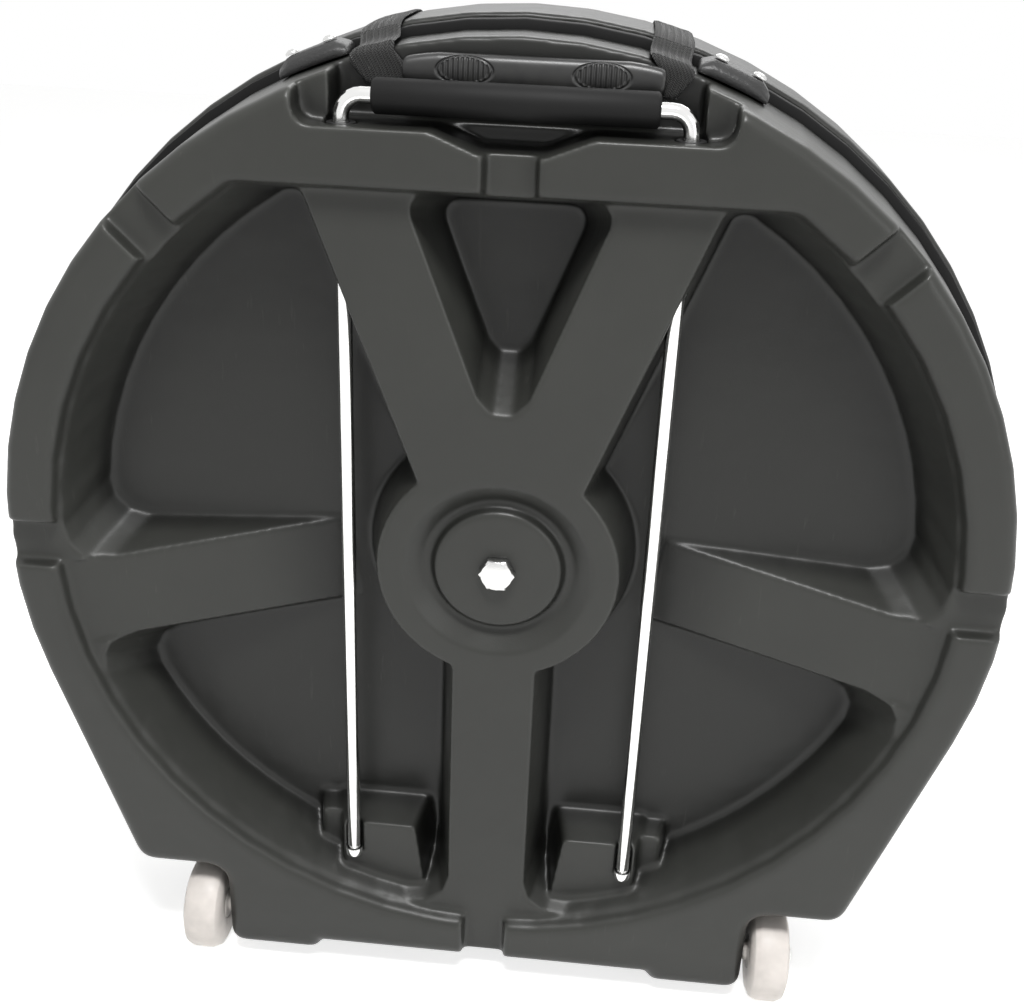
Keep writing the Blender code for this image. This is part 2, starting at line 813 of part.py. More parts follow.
def buildWheels(tyre, plastic, steel):
    for side, word in ((-1, "left"), (1, "right")):
        soft = wheelShoulder
        shape = [(0, wheelBore + gap), (0, wheelRadius - soft), (soft * 0.3, wheelRadius - soft * 0.3),
                 (soft, wheelRadius), (wheelWidth - soft, wheelRadius),
                 (wheelWidth - soft * 0.3, wheelRadius - soft * 0.3), (wheelWidth, wheelRadius - soft),
                 (wheelWidth, wheelBore + gap)]
        profile = [(side * (wheelInner + x), radius) for x, radius in shape]
        wheel = dress(turnedX(profile, wheelY, axleZ, 32, f"wheel_{word}", True), tyre)
        bore = axleRadius + gap
        stub = bore + stubWall
        start = footHalfWidth + flareAt(wheelY + stub) + gap
        shape = [(start, bore), (start, stub), (wheelInner - 0.001, stub), (wheelInner, wheelBore),
                 (wheelOuter, wheelBore), (wheelOuter, bore)]
        core = dress(turnedX([(side * x, radius) for x, radius in shape], wheelY, axleZ, 24, f"wheel_core_{word}", True),
                     plastic)
        for item in (wheel, core):
            seatOrigin(item, (side * (wheelInner + wheelOuter) / 2, wheelY, axleZ))
        head = wheelOuter + gap
        inside = footHalfWidth - shellWall - axleBossDepth - gap
        end = inside - washerThickness - nutHeight - 3 * gap - 0.002
        shape = [(end, axleRadius), (head, axleRadius), (head, axleHeadRadius), (head + 0.003, axleHeadRadius),
                 (head + 0.005, axleHeadRadius * 0.6)]
        dress(turnedX([(side * x, radius) for x, radius in shape], wheelY, axleZ, 24, f"axle_bolt_{word}"), steel)
        shape = [(inside, bore), (inside, axleWasherRadius), (inside - washerThickness, axleWasherRadius),
                 (inside - washerThickness, bore)]
        dress(turnedX([(side * x, radius) for x, radius in shape], wheelY, axleZ, 24, f"axle_washer_{word}", True), steel)
        start = inside - washerThickness - gap
        rows = []
        for points, x in ((circle(bore, 24), start), (hexagon(nutRadius), start), (hexagon(nutRadius), start - nutHeight),
                          (circle(bore, 24), start - nutHeight)):
            rows.append([(side * x, wheelY + a, axleZ + b) for a, b in points])
        dress(loopLoft(rows, f"axle_nut_{word}"), steel)


def seatOrigin(item, point):
    item.data.transform(Matrix.Translation(-Vector(point)))
    item.location = point


def buildCarryHandle(rubber, webbing):
    left = carryShift - carryHalfLength
    right = carryShift + carryHalfLength
    rows = []
    for x, inset in ((left, 0.003), (left + 0.001, 0.001), (left + 0.004, 0.0), (right - 0.004, 0.0),
                     (right - 0.001, 0.001), (right, 0.003)):
        round2 = carryRounding - inset
        corners = [(carryFront + inset, carryBottom + inset, round2), (carryBack - inset, carryBottom + inset, round2),
                   (carryBack - inset, carryTop - inset, round2), (carryFront + inset, carryTop - inset, round2)]
        rows.append([(x, y, z) for y, z in roundedPolygon(corners)])
    grip = loft(rows, "carry_grip")
    middle = (carryBottom + carryTop) / 2
    for side in (-1, 1):
        for i in range(ribCount):
            across = (2 * (i + 0.5) / ribCount - 1) * padHalfLength
            tall = padHalfHeight * sqrt(1 - (across / padHalfLength) ** 2)
            x = carryShift + side * padShift + across
            half = padHalfLength / ribCount * 0.62
            outline = roundedPolygon([(x - half, middle - tall, half * 0.9), (x + half, middle - tall, half * 0.9),
                                      (x + half, middle + tall, half * 0.9), (x - half, middle + tall, half * 0.9)], 2)
            fuse(grip, prismY(outline, carryFront - padRise, carryFront + 0.002))
    grips = [dress(grip, rubber)]
    front = carryHingeY - webThickness / 2
    back = carryHingeY + webThickness / 2
    outer = sin(radians(strapLean)) * (bodyRadius + lidStep) + webWidth / 2
    inner = outer - webWidth
    top = carryHingeZ - 0.001
    for side, word, end in ((-1, "left", left), (1, "right", right)):
        near = abs(end) + gap
        corners = [(near, carryBottom + 0.001), (outer - bandTaper, carryBottom + 0.001), (outer, carryBottom + bandTaper),
                   (outer, top), (max(inner, near), top), (near, carryTop - 0.0005)]
        rows = [[(side * x, y, z) for x, z in corners] for y in (front, back)]
        grips.append(dress(loft(rows, f"carry_band_{word}"), webbing))
    for item in grips:
        seatOrigin(item, (0.0, carryHingeY, carryHingeZ))


# A flat strap along (y, r) points, where r is the distance from the middle of the hub
def ribbon(path, name, width=webWidth, thickness=webThickness):
    spots = [Vector(point) for point in path]
    sides = [[], []]
    for i, spot in enumerate(spots):
        ways = []
        if i > 0:
            ways.append((spot - spots[i - 1]).normalized())
        if i < len(spots) - 1:
            ways.append((spots[i + 1] - spot).normalized())
        way = sum(ways, Vector((0, 0))).normalized()
        normal = Vector((-way.y, way.x))
        reach = thickness / 2 / max(normal.dot(Vector((-ways[0].y, ways[0].x))), 0.5)
        sides[0].append(spot + normal * reach)
        sides[1].append(spot - normal * reach)
    outline = sides[0] + list(reversed(sides[1]))
    rows = [[(x, point.x, point.y) for point in outline] for x in (-width / 2, width / 2)]
    return loft(rows, name)


def boxSolid(low, high, name="tool"):
    rows = []
    for x in (low[0], high[0]):
        rows.append([(x, low[1], low[2]), (x, high[1], low[2]), (x, high[1], high[2]), (x, low[1], high[2])])
    return loft(rows, name)


def lean(item, angle):
    item.data.transform(Matrix.Rotation(radians(angle), 4, "Y"))
    return item


def domeRows(x, y, z, way, radius, height):
    rows = []
    for level, size in ((0.0, radius), (height * 0.55, radius * 0.9), (height, radius * 0.45)):
        ring = []
        for a, b in circle(size, 12):
            ring.append((x + a, y + b, z + level) if way == "r" else (x + a, y + level, z + b))
        rows.append(ring)
    return rows


# A rivet head on top of a curved wall
def dome(x, y, z, name, radius=rivetRadius, height=rivetHeight):
    return loft(domeRows(x, y, z, "r", radius, height), name)


def buildClosures(webbing, plastic, steel):
    lift = webThickness / 2 + gap
    seam = baseDepth
    sealTop = bodyRadius + sealStep + lift
    lidTop = lidRadius + lift
    roundMiddle = lidBack - lidRounding
    arc = arcBetween((roundMiddle, lidRadius - lidRounding), lidRounding + lift, pi / 2, radians(52), 3)
    ledge = lidBack - channelDepth + lift + gap
    floor = lidFloor + lift
    rootStart = carryHingeY + webThickness / 2 + gap
    for angle, word, start in ((-strapLean, "left", rootStart), (strapLean, "right", rootStart),
                               (180, "bottom", rootFront)):
        path = [(start, baseSurface(start) + lift + 0.0002), (seam - 0.008, baseSurface(seam) + lift),
                (seam - 0.0005, sealTop)]
        dress(lean(ribbon(path, f"band_root_{word}"), angle), webbing)
        path = [(seam + gap, sealTop), (lidFront + 0.001, lidTop)] + arc
        path += [(ledge, lidRadius - 0.0095), (ledge, ringInnerRadius - 0.005), (floor, ringInnerRadius - 0.011),
                 (floor, plugTop + gap)]
        dress(lean(ribbon(path, f"closure_strap_{word}"), angle), webbing)
        buildBuckle(word, angle, plastic)
        socketEnd = plugTop - plugLength - gap - socketLength
        tail = socketEnd - gap
        dress(lean(ribbon([(floor, tail), (floor, tail - tailLength)], f"lid_strap_{word}"), angle), webbing)
        plateFront = lidFloor + gap + webThickness + gap
        plateLow = tail - tailLength
        plate = boxSolid((-plateWidth / 2, plateFront, plateLow), (plateWidth / 2, plateFront + plateThickness,
                                                                    plateLow + plateLength), f"strap_plate_{word}")
        for side in (-1, 1):
            fuse(plate, loft(domeRows(side * plateWidth * 0.25, plateFront + plateThickness - 0.0003,
                                      plateLow + plateLength / 2, "y", 0.003, 0.0016)))
        dress(lean(plate, angle), steel)
    far = seam - 0.010
    height = baseSurface(seam) + gap + webThickness + gap
    plate = boxSolid((-plateWidth / 2, far - plateLength, height),
                     (plateWidth / 2, far, height + plateThickness), "root_plate_bottom")
    dress(lean(plate, 180), steel)


def buildBuckle(word, angle, plastic):
    front = lidFloor + gap
    middle = front + plugThickness / 2
    low = plugTop - plugLength
    plug = boxSolid((-plugWidth / 2, front, low), (plugWidth / 2, front + plugThickness, plugTop), f"buckle_plug_{word}")
    half = prongThickness / 2
    for x in (-prongSpread, 0.0, prongSpread):
        fuse(plug, boxSolid((x - prongWidth / 2, middle - half, low - prongLength),
                            (x + prongWidth / 2, middle + half, low + 0.001)))
    dress(lean(plug, angle), plastic)
    top = low - gap
    bottom = top - socketLength
    wide = socketWidth / 2
    socket = boxSolid((-wide, front, bottom), (wide, front + socketThickness, top), f"buckle_socket_{word}")
    inside = wide - socketWall
    room = half + 0.0006
    cut(socket, boxSolid((-inside, middle - room, top - prongLength - 0.002), (inside, middle + room, top + 0.002)))
    window = top - prongLength * 0.75
    cut(socket, boxSolid((-wide - 0.002, middle - room * 0.9, window), (wide + 0.002, middle + room * 0.9, window + 0.009)))
    dress(lean(socket, angle), plastic)


def buildAnchors(castBlack, steel):
    for side, word in ((-1, "left"), (1, "right")):
        rows = []
        steps = 6
        for i in range(steps + 1):
            turn = radians(anchorStart + (anchorEnd - anchorStart) * i / steps)
            ends = i in (0, steps)
            rise = anchorHeight * (0.55 if ends else 1.0)
            profile = [(anchorFront, 0.0), (anchorFront, rise * 0.55), (anchorFront + 0.005, rise),
                       (baseDepth - 0.005, rise), (baseDepth - 0.0005, rise * 0.6), (baseDepth - 0.0005, 0.0)]
            row = []
            for depth, up in profile:
                radius = baseSurface(depth) + gap * 2 + up
                row.append((side * radius * sin(turn), depth, radius * cos(turn)))
            rows.append(row)
        dress(loft(rows, f"strap_anchor_{word}"), castBlack)
        middle = (anchorFront + baseDepth) / 2
        top = baseSurface(baseDepth) + gap + anchorHeight + gap
        for turn, place in ((anchorStart + 1.9, "inner"), (anchorEnd - 1.7, "outer")):
            rivet = dome(0.0, middle, top, f"anchor_rivet_{word}_{place}")
            dress(lean(rivet, side * turn), steel)


def placeInWorld():
    frame = bpy.data.objects.new("case_frame", None)
    bpy.context.collection.objects.link(frame)
    for item in list(bpy.data.objects):
        if item is not frame:
            item.parent = frame
    frame.location = (0.0, -middleY, groundDrop)


def main():
    clearScene()
    black = makeMaterial("moulded_black", (0.022, 0.022, 0.024), 0.55)
    lidBlack = makeMaterial("moulded_black_lid", (0.024, 0.024, 0.026), 0.55)
    castBlack = makeMaterial("cast_black", (0.016, 0.016, 0.017), 0.45)
    rubber = makeMaterial("black_rubber", (0.012, 0.012, 0.012), 0.7)
    chrome = makeMaterial("chrome_tube", (0.78, 0.78, 0.80), 0.12, 1.0)
    steel = makeMaterial("bright_steel", (0.62, 0.62, 0.63), 0.3, 1.0)
    webbing = makeMaterial("black_webbing", (0.02, 0.02, 0.02), 0.85)
    plastic = makeMaterial("black_nylon", (0.018, 0.018, 0.018), 0.4)
    foam = makeMaterial("charcoal_foam", (0.035, 0.035, 0.037), 0.95)
    felt = makeMaterial("grey_felt", (0.16, 0.16, 0.16), 0.95)
    tyre = makeMaterial("pale_wheel", (0.62, 0.58, 0.57), 0.5)
    core = makeMaterial("wheel_core", (0.45, 0.44, 0.43), 0.45)
    buildBaseShell(black)
    buildLidShell(lidBlack)
    buildPost(steel, felt, plastic)
    buildSoftParts(foam, rubber)
    buildPullHandle(chrome, rubber, plastic)
    buildWheels(tyre, core, steel)
    buildCarryHandle(rubber, webbing)
    buildClosures(webbing, plastic, steel)
    buildAnchors(castBlack, steel)
    placeInWorld()


main()
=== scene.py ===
import json
from math import ceil, cos, pi, radians, sin, sqrt

import bpy
from mathutils import Matrix, Vector, noise


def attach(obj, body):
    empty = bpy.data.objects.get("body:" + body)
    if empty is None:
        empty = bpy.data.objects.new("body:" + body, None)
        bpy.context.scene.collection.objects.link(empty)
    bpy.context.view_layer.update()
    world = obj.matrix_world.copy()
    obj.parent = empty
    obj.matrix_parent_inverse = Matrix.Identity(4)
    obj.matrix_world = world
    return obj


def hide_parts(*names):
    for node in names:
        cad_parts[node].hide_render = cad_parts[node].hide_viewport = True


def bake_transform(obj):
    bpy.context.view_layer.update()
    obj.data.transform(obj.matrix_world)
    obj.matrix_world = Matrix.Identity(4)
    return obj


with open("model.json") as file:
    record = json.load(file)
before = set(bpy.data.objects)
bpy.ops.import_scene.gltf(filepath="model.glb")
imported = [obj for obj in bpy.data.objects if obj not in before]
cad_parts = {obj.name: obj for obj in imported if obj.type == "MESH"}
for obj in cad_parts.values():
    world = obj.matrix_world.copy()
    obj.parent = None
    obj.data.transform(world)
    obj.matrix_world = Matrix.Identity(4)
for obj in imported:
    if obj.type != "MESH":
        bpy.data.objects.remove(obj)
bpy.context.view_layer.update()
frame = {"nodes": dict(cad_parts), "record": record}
nodes = frame["nodes"]


# A socket of a material's tree, or a number, in an expression: each operator adds its node
class Wire:
    def __init__(self, graph, socket):
        self.graph = graph
        self.socket = socket

    def combine(self, operation, first, second):
        kinds = {item.socket.type for item in (first, second) if isinstance(item, Wire)}
        if "RGBA" in kinds:
            return self.graph.mix(1.0, first, second, operation)
        if "VECTOR" in kinds:
            return self.graph.add("VectorMath", {"operation": operation}, {0: first, 1: second})
        return self.graph.add("Math", {"operation": operation}, {0: first, 1: second})

    def __add__(self, other):
        return self.combine("ADD", self, other)

    def __radd__(self, other):
        return self.combine("ADD", other, self)

    def __sub__(self, other):
        return self.combine("SUBTRACT", self, other)

    def __rsub__(self, other):
        return self.combine("SUBTRACT", other, self)

    def __mul__(self, other):
        return self.combine("MULTIPLY", self, other)

    def __rmul__(self, other):
        return self.combine("MULTIPLY", other, self)

    def sine(self):
        return self.graph.add("Math", {"operation": "SINE"}, {0: self})

    # Back and forth between 0 and the turning value
    def pingPong(self, turning):
        return self.graph.add("Math", {"operation": "PINGPONG"}, {0: self, 1: turning})

    def largest(self, other):
        return self.graph.add("Math", {"operation": "MAXIMUM"}, {0: self, 1: other})

    def part(self, axis):
        return self.graph.add("SeparateXYZ", {}, {0: self}, "XYZ".index(axis))

    # 0 at the low value, 1 at the high one, smooth between
    def ease(self, low, high):
        return self.graph.add("MapRange", {"interpolation_type": "SMOOTHSTEP"},
                              {"Value": self, "From Min": low, "From Max": high})


# A material, or the world, and its node tree
class Finish:
    def __init__(self, name, world=None):
        self.material = world or bpy.data.materials.new(name)
        self.material.use_nodes = True
        self.tree = self.material.node_tree
        self.tree.nodes.clear()
        self.place = self.add("TexCoord", out="Object")

    # Any node: its settings first, then the values or links of its sockets
    def add(self, kind, settings=None, sockets=None, out=0):
        node = self.tree.nodes.new("ShaderNode" + kind)
        for key, value in (settings or {}).items():
            setattr(node, key, value)
        for key, value in (sockets or {}).items():
            self.plug(node.inputs[key], value)
        return Wire(self, node.outputs[out]) if node.outputs else None

    def plug(self, socket, value):
        if isinstance(value, Wire):
            self.tree.links.new(value.socket, socket)
        elif socket.type == "RGBA" and len(value) == 3:
            socket.default_value = (*value, 1.0)
        else:
            socket.default_value = value

    def mix(self, factor, first, second, blend="MIX"):
        settings = {"data_type": "RGBA", "blend_type": blend}
        return self.add("Mix", settings, {0: factor, 6: first, 7: second}, 2)

    def noise(self, scale, detail=3.0, roughness=0.5, place=None):
        sockets = {"Vector": place or self.place, "Scale": scale, "Detail": detail, "Roughness": roughness}
        return self.add("TexNoise", {}, sockets)

    def stretched(self, x, y, z):
        return self.place * (x, y, z)

    def bump(self, height, distance, strength=1.0, normal=None):
        sockets = {"Height": height, "Distance": distance, "Strength": strength}
        if normal:
            sockets["Normal"] = normal
        return self.add("Bump", {}, sockets)

    # 1 for the camera and in reflections, 0 for the light that falls on things
    def shown(self):
        return self.add("LightPath", out="Is Camera Ray").largest(self.add("LightPath", out="Is Glossy Ray"))

    def surface(self, **sockets):
        named = {key.replace("_", " "): value for key, value in sockets.items()}
        shader = self.add("BsdfPrincipled", {}, named)
        self.add("OutputMaterial", {}, {"Surface": shader})
        return self.material


# Camera, floor and lamps

studio = {
    "cameraPlace": (0.0614, -0.8008, 0.7384),
    "cameraTurns": (64.4, 3.8, 4.2),
    "lens": 45.545,
    "floorSize": 8.0,
    "floorColor": (0.93, 0.93, 0.92),
    "floorGlow": 0.72,
    "worldLight": 0.24,
}

lamps = {
    "key": {"place": (0.1, -0.85, 2.2), "target": (0.0, -0.05, 0.4), "size": (0.7, 0.4), "power": 34.0},
    "fill": {"place": (1.6, -1.4, 0.9), "target": (0.0, 0.0, 0.35), "size": (1.0, 1.2), "power": 7.0},
    "back": {"place": (0.2, 1.4, 1.5), "target": (0.0, 0.1, 0.5), "size": (1.6, 0.6), "power": 9.0},
}


def makeCamera(values):
    data = bpy.data.cameras.new("camera")
    data.lens = values["lens"]
    data.sensor_fit = "HORIZONTAL"
    data.sensor_width = 36.0
    camera = bpy.data.objects.new("camera", data)
    bpy.context.collection.objects.link(camera)
    turns = Matrix.Identity(4)
    for angle, axis in zip(values["cameraTurns"], "XYZ"):
        turns = turns @ Matrix.Rotation(radians(angle), 4, axis)
    camera.matrix_world = Matrix.Translation(values["cameraPlace"]) @ turns
    bpy.context.scene.camera = camera


def makeLamp(name, place, target, size, power):
    data = bpy.data.lights.new(name, "AREA")
    data.shape = "RECTANGLE"
    data.size = size[0]
    data.size_y = size[1]
    data.energy = power
    lamp = bpy.data.objects.new(name, data)
    bpy.context.collection.objects.link(lamp)
    lamp.location = place
    lamp.rotation_euler = (Vector(target) - Vector(place)).to_track_quat("-Z", "Y").to_euler()


# White for the camera and in reflections, plain light for the rest
def makeWorld(values):
    world = bpy.data.worlds.new("studio")
    finish = Finish("studio", world)
    level = finish.shown() * (1 - values["worldLight"]) + values["worldLight"]
    light = finish.add("Background", {}, {"Color": (1.0, 1.0, 1.0), "Strength": level})
    finish.add("OutputWorld", {}, {"Surface": light})
    bpy.context.scene.world = world


# The floor glows for the camera and in reflections alone, so that the shadow on it stays
def makeFloor(values):
    half = values["floorSize"] / 2
    mesh = bpy.data.meshes.new("studio_floor")
    corners = [(-half, -half, 0), (half, -half, 0), (half, half, 0), (-half, half, 0)]
    mesh.from_pydata(corners, [], [(0, 1, 2, 3)])
    floor = bpy.data.objects.new("studio_floor", mesh)
    bpy.context.collection.objects.link(floor)
    finish = Finish("studio_floor")
    glow = finish.mix(finish.shown(), (0.0, 0.0, 0.0), (1.0, 1.0, 1.0))
    finish.surface(Base_Color=values["floorColor"], Roughness=0.9, Specular_IOR_Level=0.1,
                   Emission_Color=glow, Emission_Strength=values["floorGlow"])
    mesh.materials.append(finish.material)


bpy.context.scene.view_settings.view_transform = "Standard"
makeCamera(studio)
makeWorld(studio)
makeFloor(studio)
for name, values in lamps.items():
    makeLamp(name, **values)
print("camera, floor and lamps set")


# Moulded polyethylene: fine grain, a slow waviness from the mould, rubbed edges and a little dust.
# Painted shade: everything from the depth of the well floors back, the lid with it, is painted darker, and
# corners and hollows are painted darker still from an occlusion node.
moulding = {
    "color": (0.040, 0.041, 0.037),
    "rubbedColor": (0.120, 0.122, 0.114),
    "dustColor": (0.13, 0.127, 0.118),
    "roughness": 0.37,
    "specular": 0.36,
    "sunk": (-0.050, -0.036),       # depths between which the painted shade comes in
    "sunkTone": 0.42,
    # painted shade in corners and hollows: how far the occlusion looks, where the shade comes in, and how
    # dark it gets
    "cornerShadeReach": 0.045,
    "cornerShadeLimits": (0.95, 0.35),
    "cornerShadeTone": 0.14,
    "proud": (0.515, 0.570),        # how far an edge stands out before it is rubbed
    "rubbedLeast": 0.25,
    "rubbedMore": 0.45,
    "grainScale": 950.0,
    "grainDepth": 0.00010,
    "waveScale": 34.0,
    "waveDepth": 0.0009,
    "cloudScale": 7.0,
    "cloudSpread": 0.07,
    "scratchScale": 260.0,
    "dust": 0.18,
}


def toned(color, tone):
    return [part * tone for part in color]


def mouldedFinish(name, values, tone=1.0):
    finish = Finish(name)
    grain = finish.noise(values["grainScale"], 2.0, 0.6)
    wave = finish.noise(values["waveScale"], 2.0, 0.4)
    cloud = finish.noise(values["cloudScale"], 4.0, 0.6)
    scratch = finish.noise(values["scratchScale"], 3.0, 0.6, finish.stretched(1.0, 1.0, 0.12))
    proud = finish.add("NewGeometry", out="Pointiness").ease(*values["proud"])
    rubbed = proud * (cloud.ease(0.35, 0.65) * values["rubbedMore"] + values["rubbedLeast"])
    spread = values["cloudSpread"]
    base = finish.mix(cloud.ease(0.35, 0.7), toned(values["color"], tone * (1 - spread)),
                      toned(values["color"], tone * (1 + spread)))
    # Painted shade: darker from the depth of the well floors back
    sunk = finish.place.part("Y").ease(*values["sunk"])
    base = finish.mix(sunk, base, toned(values["color"], tone * values["sunkTone"]))
    # Painted shade in corners and hollows, from an ambient occlusion node
    openness = finish.add("AmbientOcclusion", {"samples": 4}, {"Distance": values["cornerShadeReach"]}, "AO")
    cornerShade = openness.ease(*values["cornerShadeLimits"])
    base = finish.mix(cornerShade, base, toned(values["color"], tone * values["cornerShadeTone"]))
    base = finish.mix(rubbed, base, values["rubbedColor"])
    dust = scratch.ease(0.62, 0.75) * cloud.ease(0.5, 0.65) * values["dust"]
    base = finish.mix(dust, base, values["dustColor"])
    rough = values["roughness"] + (cloud - 0.5) * 0.16 + dust * 0.5
    relief = finish.bump(wave, values["waveDepth"])
    relief = finish.bump(grain, values["grainDepth"], 0.6, relief)
    return finish.surface(Base_Color=base, Roughness=rough, Normal=relief,
                          Specular_IOR_Level=values["specular"])


# Rubber, metal, nylon and wheels: an even colour with a fine grain and a faint cloud
def plainFinish(name, color, roughness, metallic=0.0, grainScale=700.0, grainDepth=0.00005, spread=0.08,
                specular=0.5):
    finish = Finish(name)
    grain = finish.noise(grainScale, 3.0, 0.6)
    cloud = finish.noise(40.0, 3.0, 0.6)
    base = finish.mix(cloud.ease(0.3, 0.7), toned(color, 1 - spread), toned(color, 1 + spread))
    rough = roughness + (cloud - 0.5) * 0.12
    relief = finish.bump(grain, grainDepth, 0.6)
    return finish.surface(Base_Color=base, Roughness=rough, Metallic=metallic, Normal=relief,
                          Specular_IOR_Level=specular)


# Woven nylon: chevrons of raised yarns, smooth beaten edges, a little lint
weaving = {
    "color": (0.022, 0.022, 0.022),
    "yarnColor": (0.060, 0.060, 0.057),
    "yarnPitch": 0.0013,
    "chevron": 0.0042,
    "depth": 0.0004,
}


def weaveFinish(values):
    finish = Finish("black_webbing")
    place = finish.add("Attribute", {"attribute_name": "weave"}, out="Vector")
    across = place.part("X")
    slant = (across + 0.5).pingPong(values["chevron"] / 2)
    yarn = ((place.part("Y") + slant * 0.9) * (2 * pi / values["yarnPitch"])).sine()
    warp = (across * (2 * pi / values["yarnPitch"] * 0.62)).sine()
    lint = finish.noise(300.0, 4.0, 0.7)
    relief = yarn * 0.5 + warp * 0.35 + lint * 0.5
    base = finish.mix(relief.ease(0.2, 1.1), values["color"], values["yarnColor"])
    base = finish.mix(lint.ease(0.60, 0.78) * 0.35, base, (0.14, 0.14, 0.13))
    normal = finish.bump(relief, values["depth"], 0.9)
    return finish.surface(Base_Color=base, Roughness=0.78 + lint * 0.15, Normal=normal,
                          Specular_IOR_Level=0.35, Sheen_Weight=0.25, Sheen_Roughness=0.5)


def foamFinish():
    finish = Finish("charcoal_foam")
    pores = finish.add("TexVoronoi", {}, {"Vector": finish.place, "Scale": 520.0}, "Distance")
    cloud = finish.noise(18.0, 4.0, 0.6)
    base = finish.mix(pores.ease(0.05, 0.5), (0.018, 0.018, 0.019), (0.050, 0.050, 0.052))
    base = finish.mix(cloud.ease(0.4, 0.7) * 0.3, base, (0.070, 0.070, 0.070))
    relief = finish.bump(pores, 0.0006, 0.8)
    return finish.surface(Base_Color=base, Roughness=0.92 + cloud * 0.06, Normal=relief,
                          Specular_IOR_Level=0.2)


def feltFinish():
    finish = Finish("grey_felt")
    fibre = finish.noise(900.0, 5.0, 0.75, finish.stretched(1.0, 0.35, 1.0))
    cloud = finish.noise(120.0, 3.0, 0.6)
    base = finish.mix(fibre.ease(0.35, 0.7), (0.10, 0.10, 0.10), (0.24, 0.24, 0.235))
    base = finish.mix(cloud.ease(0.4, 0.7) * 0.3, base, (0.30, 0.295, 0.285))
    relief = finish.bump(fibre, 0.0007, 0.9)
    return finish.surface(Base_Color=base, Roughness=0.9 + cloud * 0.08, Normal=relief,
                          Specular_IOR_Level=0.2, Sheen_Weight=0.3)


finishes = {
    "moulded_black": mouldedFinish("moulded_black", moulding),
    # The lid's copy is the same plastic painted 0.9 as dark: painted shade
    "moulded_black_lid": mouldedFinish("moulded_black_lid", moulding, 0.9),
    "cast_black": plainFinish("cast_black", (0.02, 0.02, 0.02), 0.4, 0.0, 500.0, 0.0006),
    "black_rubber": plainFinish("black_rubber", (0.009, 0.009, 0.009), 0.6, specular=0.2),
    "chrome_tube": plainFinish("chrome_tube", (0.86, 0.86, 0.85), 0.12, 1.0, 900.0, 0.00001, 0.02),
    "bright_steel": plainFinish("bright_steel", (0.72, 0.72, 0.71), 0.25, 1.0, 900.0, 0.00002, 0.04),
    "black_webbing": weaveFinish(weaving),
    "black_nylon": plainFinish("black_nylon", (0.02, 0.02, 0.02), 0.4),
    "charcoal_foam": foamFinish(),
    "grey_felt": feltFinish(),
    "pale_wheel": plainFinish("pale_wheel", (0.90, 0.84, 0.79), 0.45),
    "wheel_core": plainFinish("wheel_core", (0.74, 0.70, 0.66), 0.5),
}
slots = {row["node"]: row["material_slot"] for row in frame["record"]["subparts"]}
for name, item in nodes.items():
    item.data.materials.clear()
    item.data.materials.append(finishes[slots[name]])
print("finishes:", len(finishes))


# Rigid nodes: welded, their edges broken a little, and shaded smooth up to an angle

smoothing = {"weld": 0.00001, "angle": 38.0, "edge": 0.0004}


def smoothTree(angle):
    tree = bpy.data.node_groups.new("smooth_by_angle", "GeometryNodeTree")
    tree.interface.new_socket("Geometry", in_out="INPUT", socket_type="NodeSocketGeometry")
    tree.interface.new_socket("Geometry", in_out="OUTPUT", socket_type="NodeSocketGeometry")
    start = tree.nodes.new("NodeGroupInput")
    faces = tree.nodes.new("GeometryNodeSetShadeSmooth")
    edges = tree.nodes.new("GeometryNodeSetShadeSmooth")
    edges.domain = "EDGE"
    edges.inputs["Shade Smooth"].default_value = False
    bend = tree.nodes.new("GeometryNodeInputMeshEdgeAngle")
    sharp = tree.nodes.new("FunctionNodeCompare")
    sharp.inputs[1].default_value = radians(angle)
    end = tree.nodes.new("NodeGroupOutput")
    tree.links.new(start.outputs[0], faces.inputs["Geometry"])
    tree.links.new(faces.outputs[0], edges.inputs["Geometry"])
    tree.links.new(bend.outputs["Unsigned Angle"], sharp.inputs[0])
    tree.links.new(sharp.outputs[0], edges.inputs["Selection"])
    tree.links.new(edges.outputs[0], end.inputs[0])
    return tree


smoothGroup = smoothTree(smoothing["angle"])


def breakEdges(item, width):
    weld = item.modifiers.new("weld", "WELD")
    weld.merge_threshold = smoothing["weld"]
    bevel = item.modifiers.new("edges", "BEVEL")
    bevel.width = width
    bevel.segments = 2
    bevel.limit_method = "ANGLE"
    bevel.angle_limit = radians(smoothing["angle"])
    item.modifiers.new("shading", "NODES").node_group = smoothGroup


edgeWidths = {
    "strap_anchor": 0.0016,
    "wheel_core": 0.0007,
    "post_bolt": 0.0006,
    "wing_nut": 0.0008,
    "buckle": 0.0008,
    "pull_grip": 0.0012,
    "anchor_rivet": 0.0005,
    "rim_seal": 0.0012,
}
mouldings = ("base_shell", "lid_shell")
softSlots = ("black_webbing", "charcoal_foam", "grey_felt")
for name, item in nodes.items():
    if name in mouldings or slots[name] in softSlots or name == "carry_grip":
        continue
    width = [size for start, size in edgeWidths.items() if name.startswith(start)]
    breakEdges(item, width[0] if width else smoothing["edge"])
print("rigid nodes smoothed")


# Pieces that stand for CAD nodes

caseDepth = -0.084      # the front ring's plane
caseHeight = 0.3395     # the middle of the hub


# A point of the case, with the middle of the hub as its origin
def spot(x, y, z):
    return Vector((x, y + caseDepth, z + caseHeight))


def addPiece(name, points, faces, finish, body, *replaced, places=None):
    mesh = bpy.data.meshes.new(name)
    mesh.from_pydata(points, [], faces)
    mesh.shade_smooth()
    if places:
        weave = mesh.attributes.new("weave", "FLOAT_VECTOR", "POINT")
        weave.data.foreach_set("vector", [part for place in places for part in place])
    mesh.materials.append(finish)
    item = bpy.data.objects.new(name, mesh)
    bpy.context.collection.objects.link(item)
    if body:
        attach(item, body)
    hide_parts(*replaced)
    return item


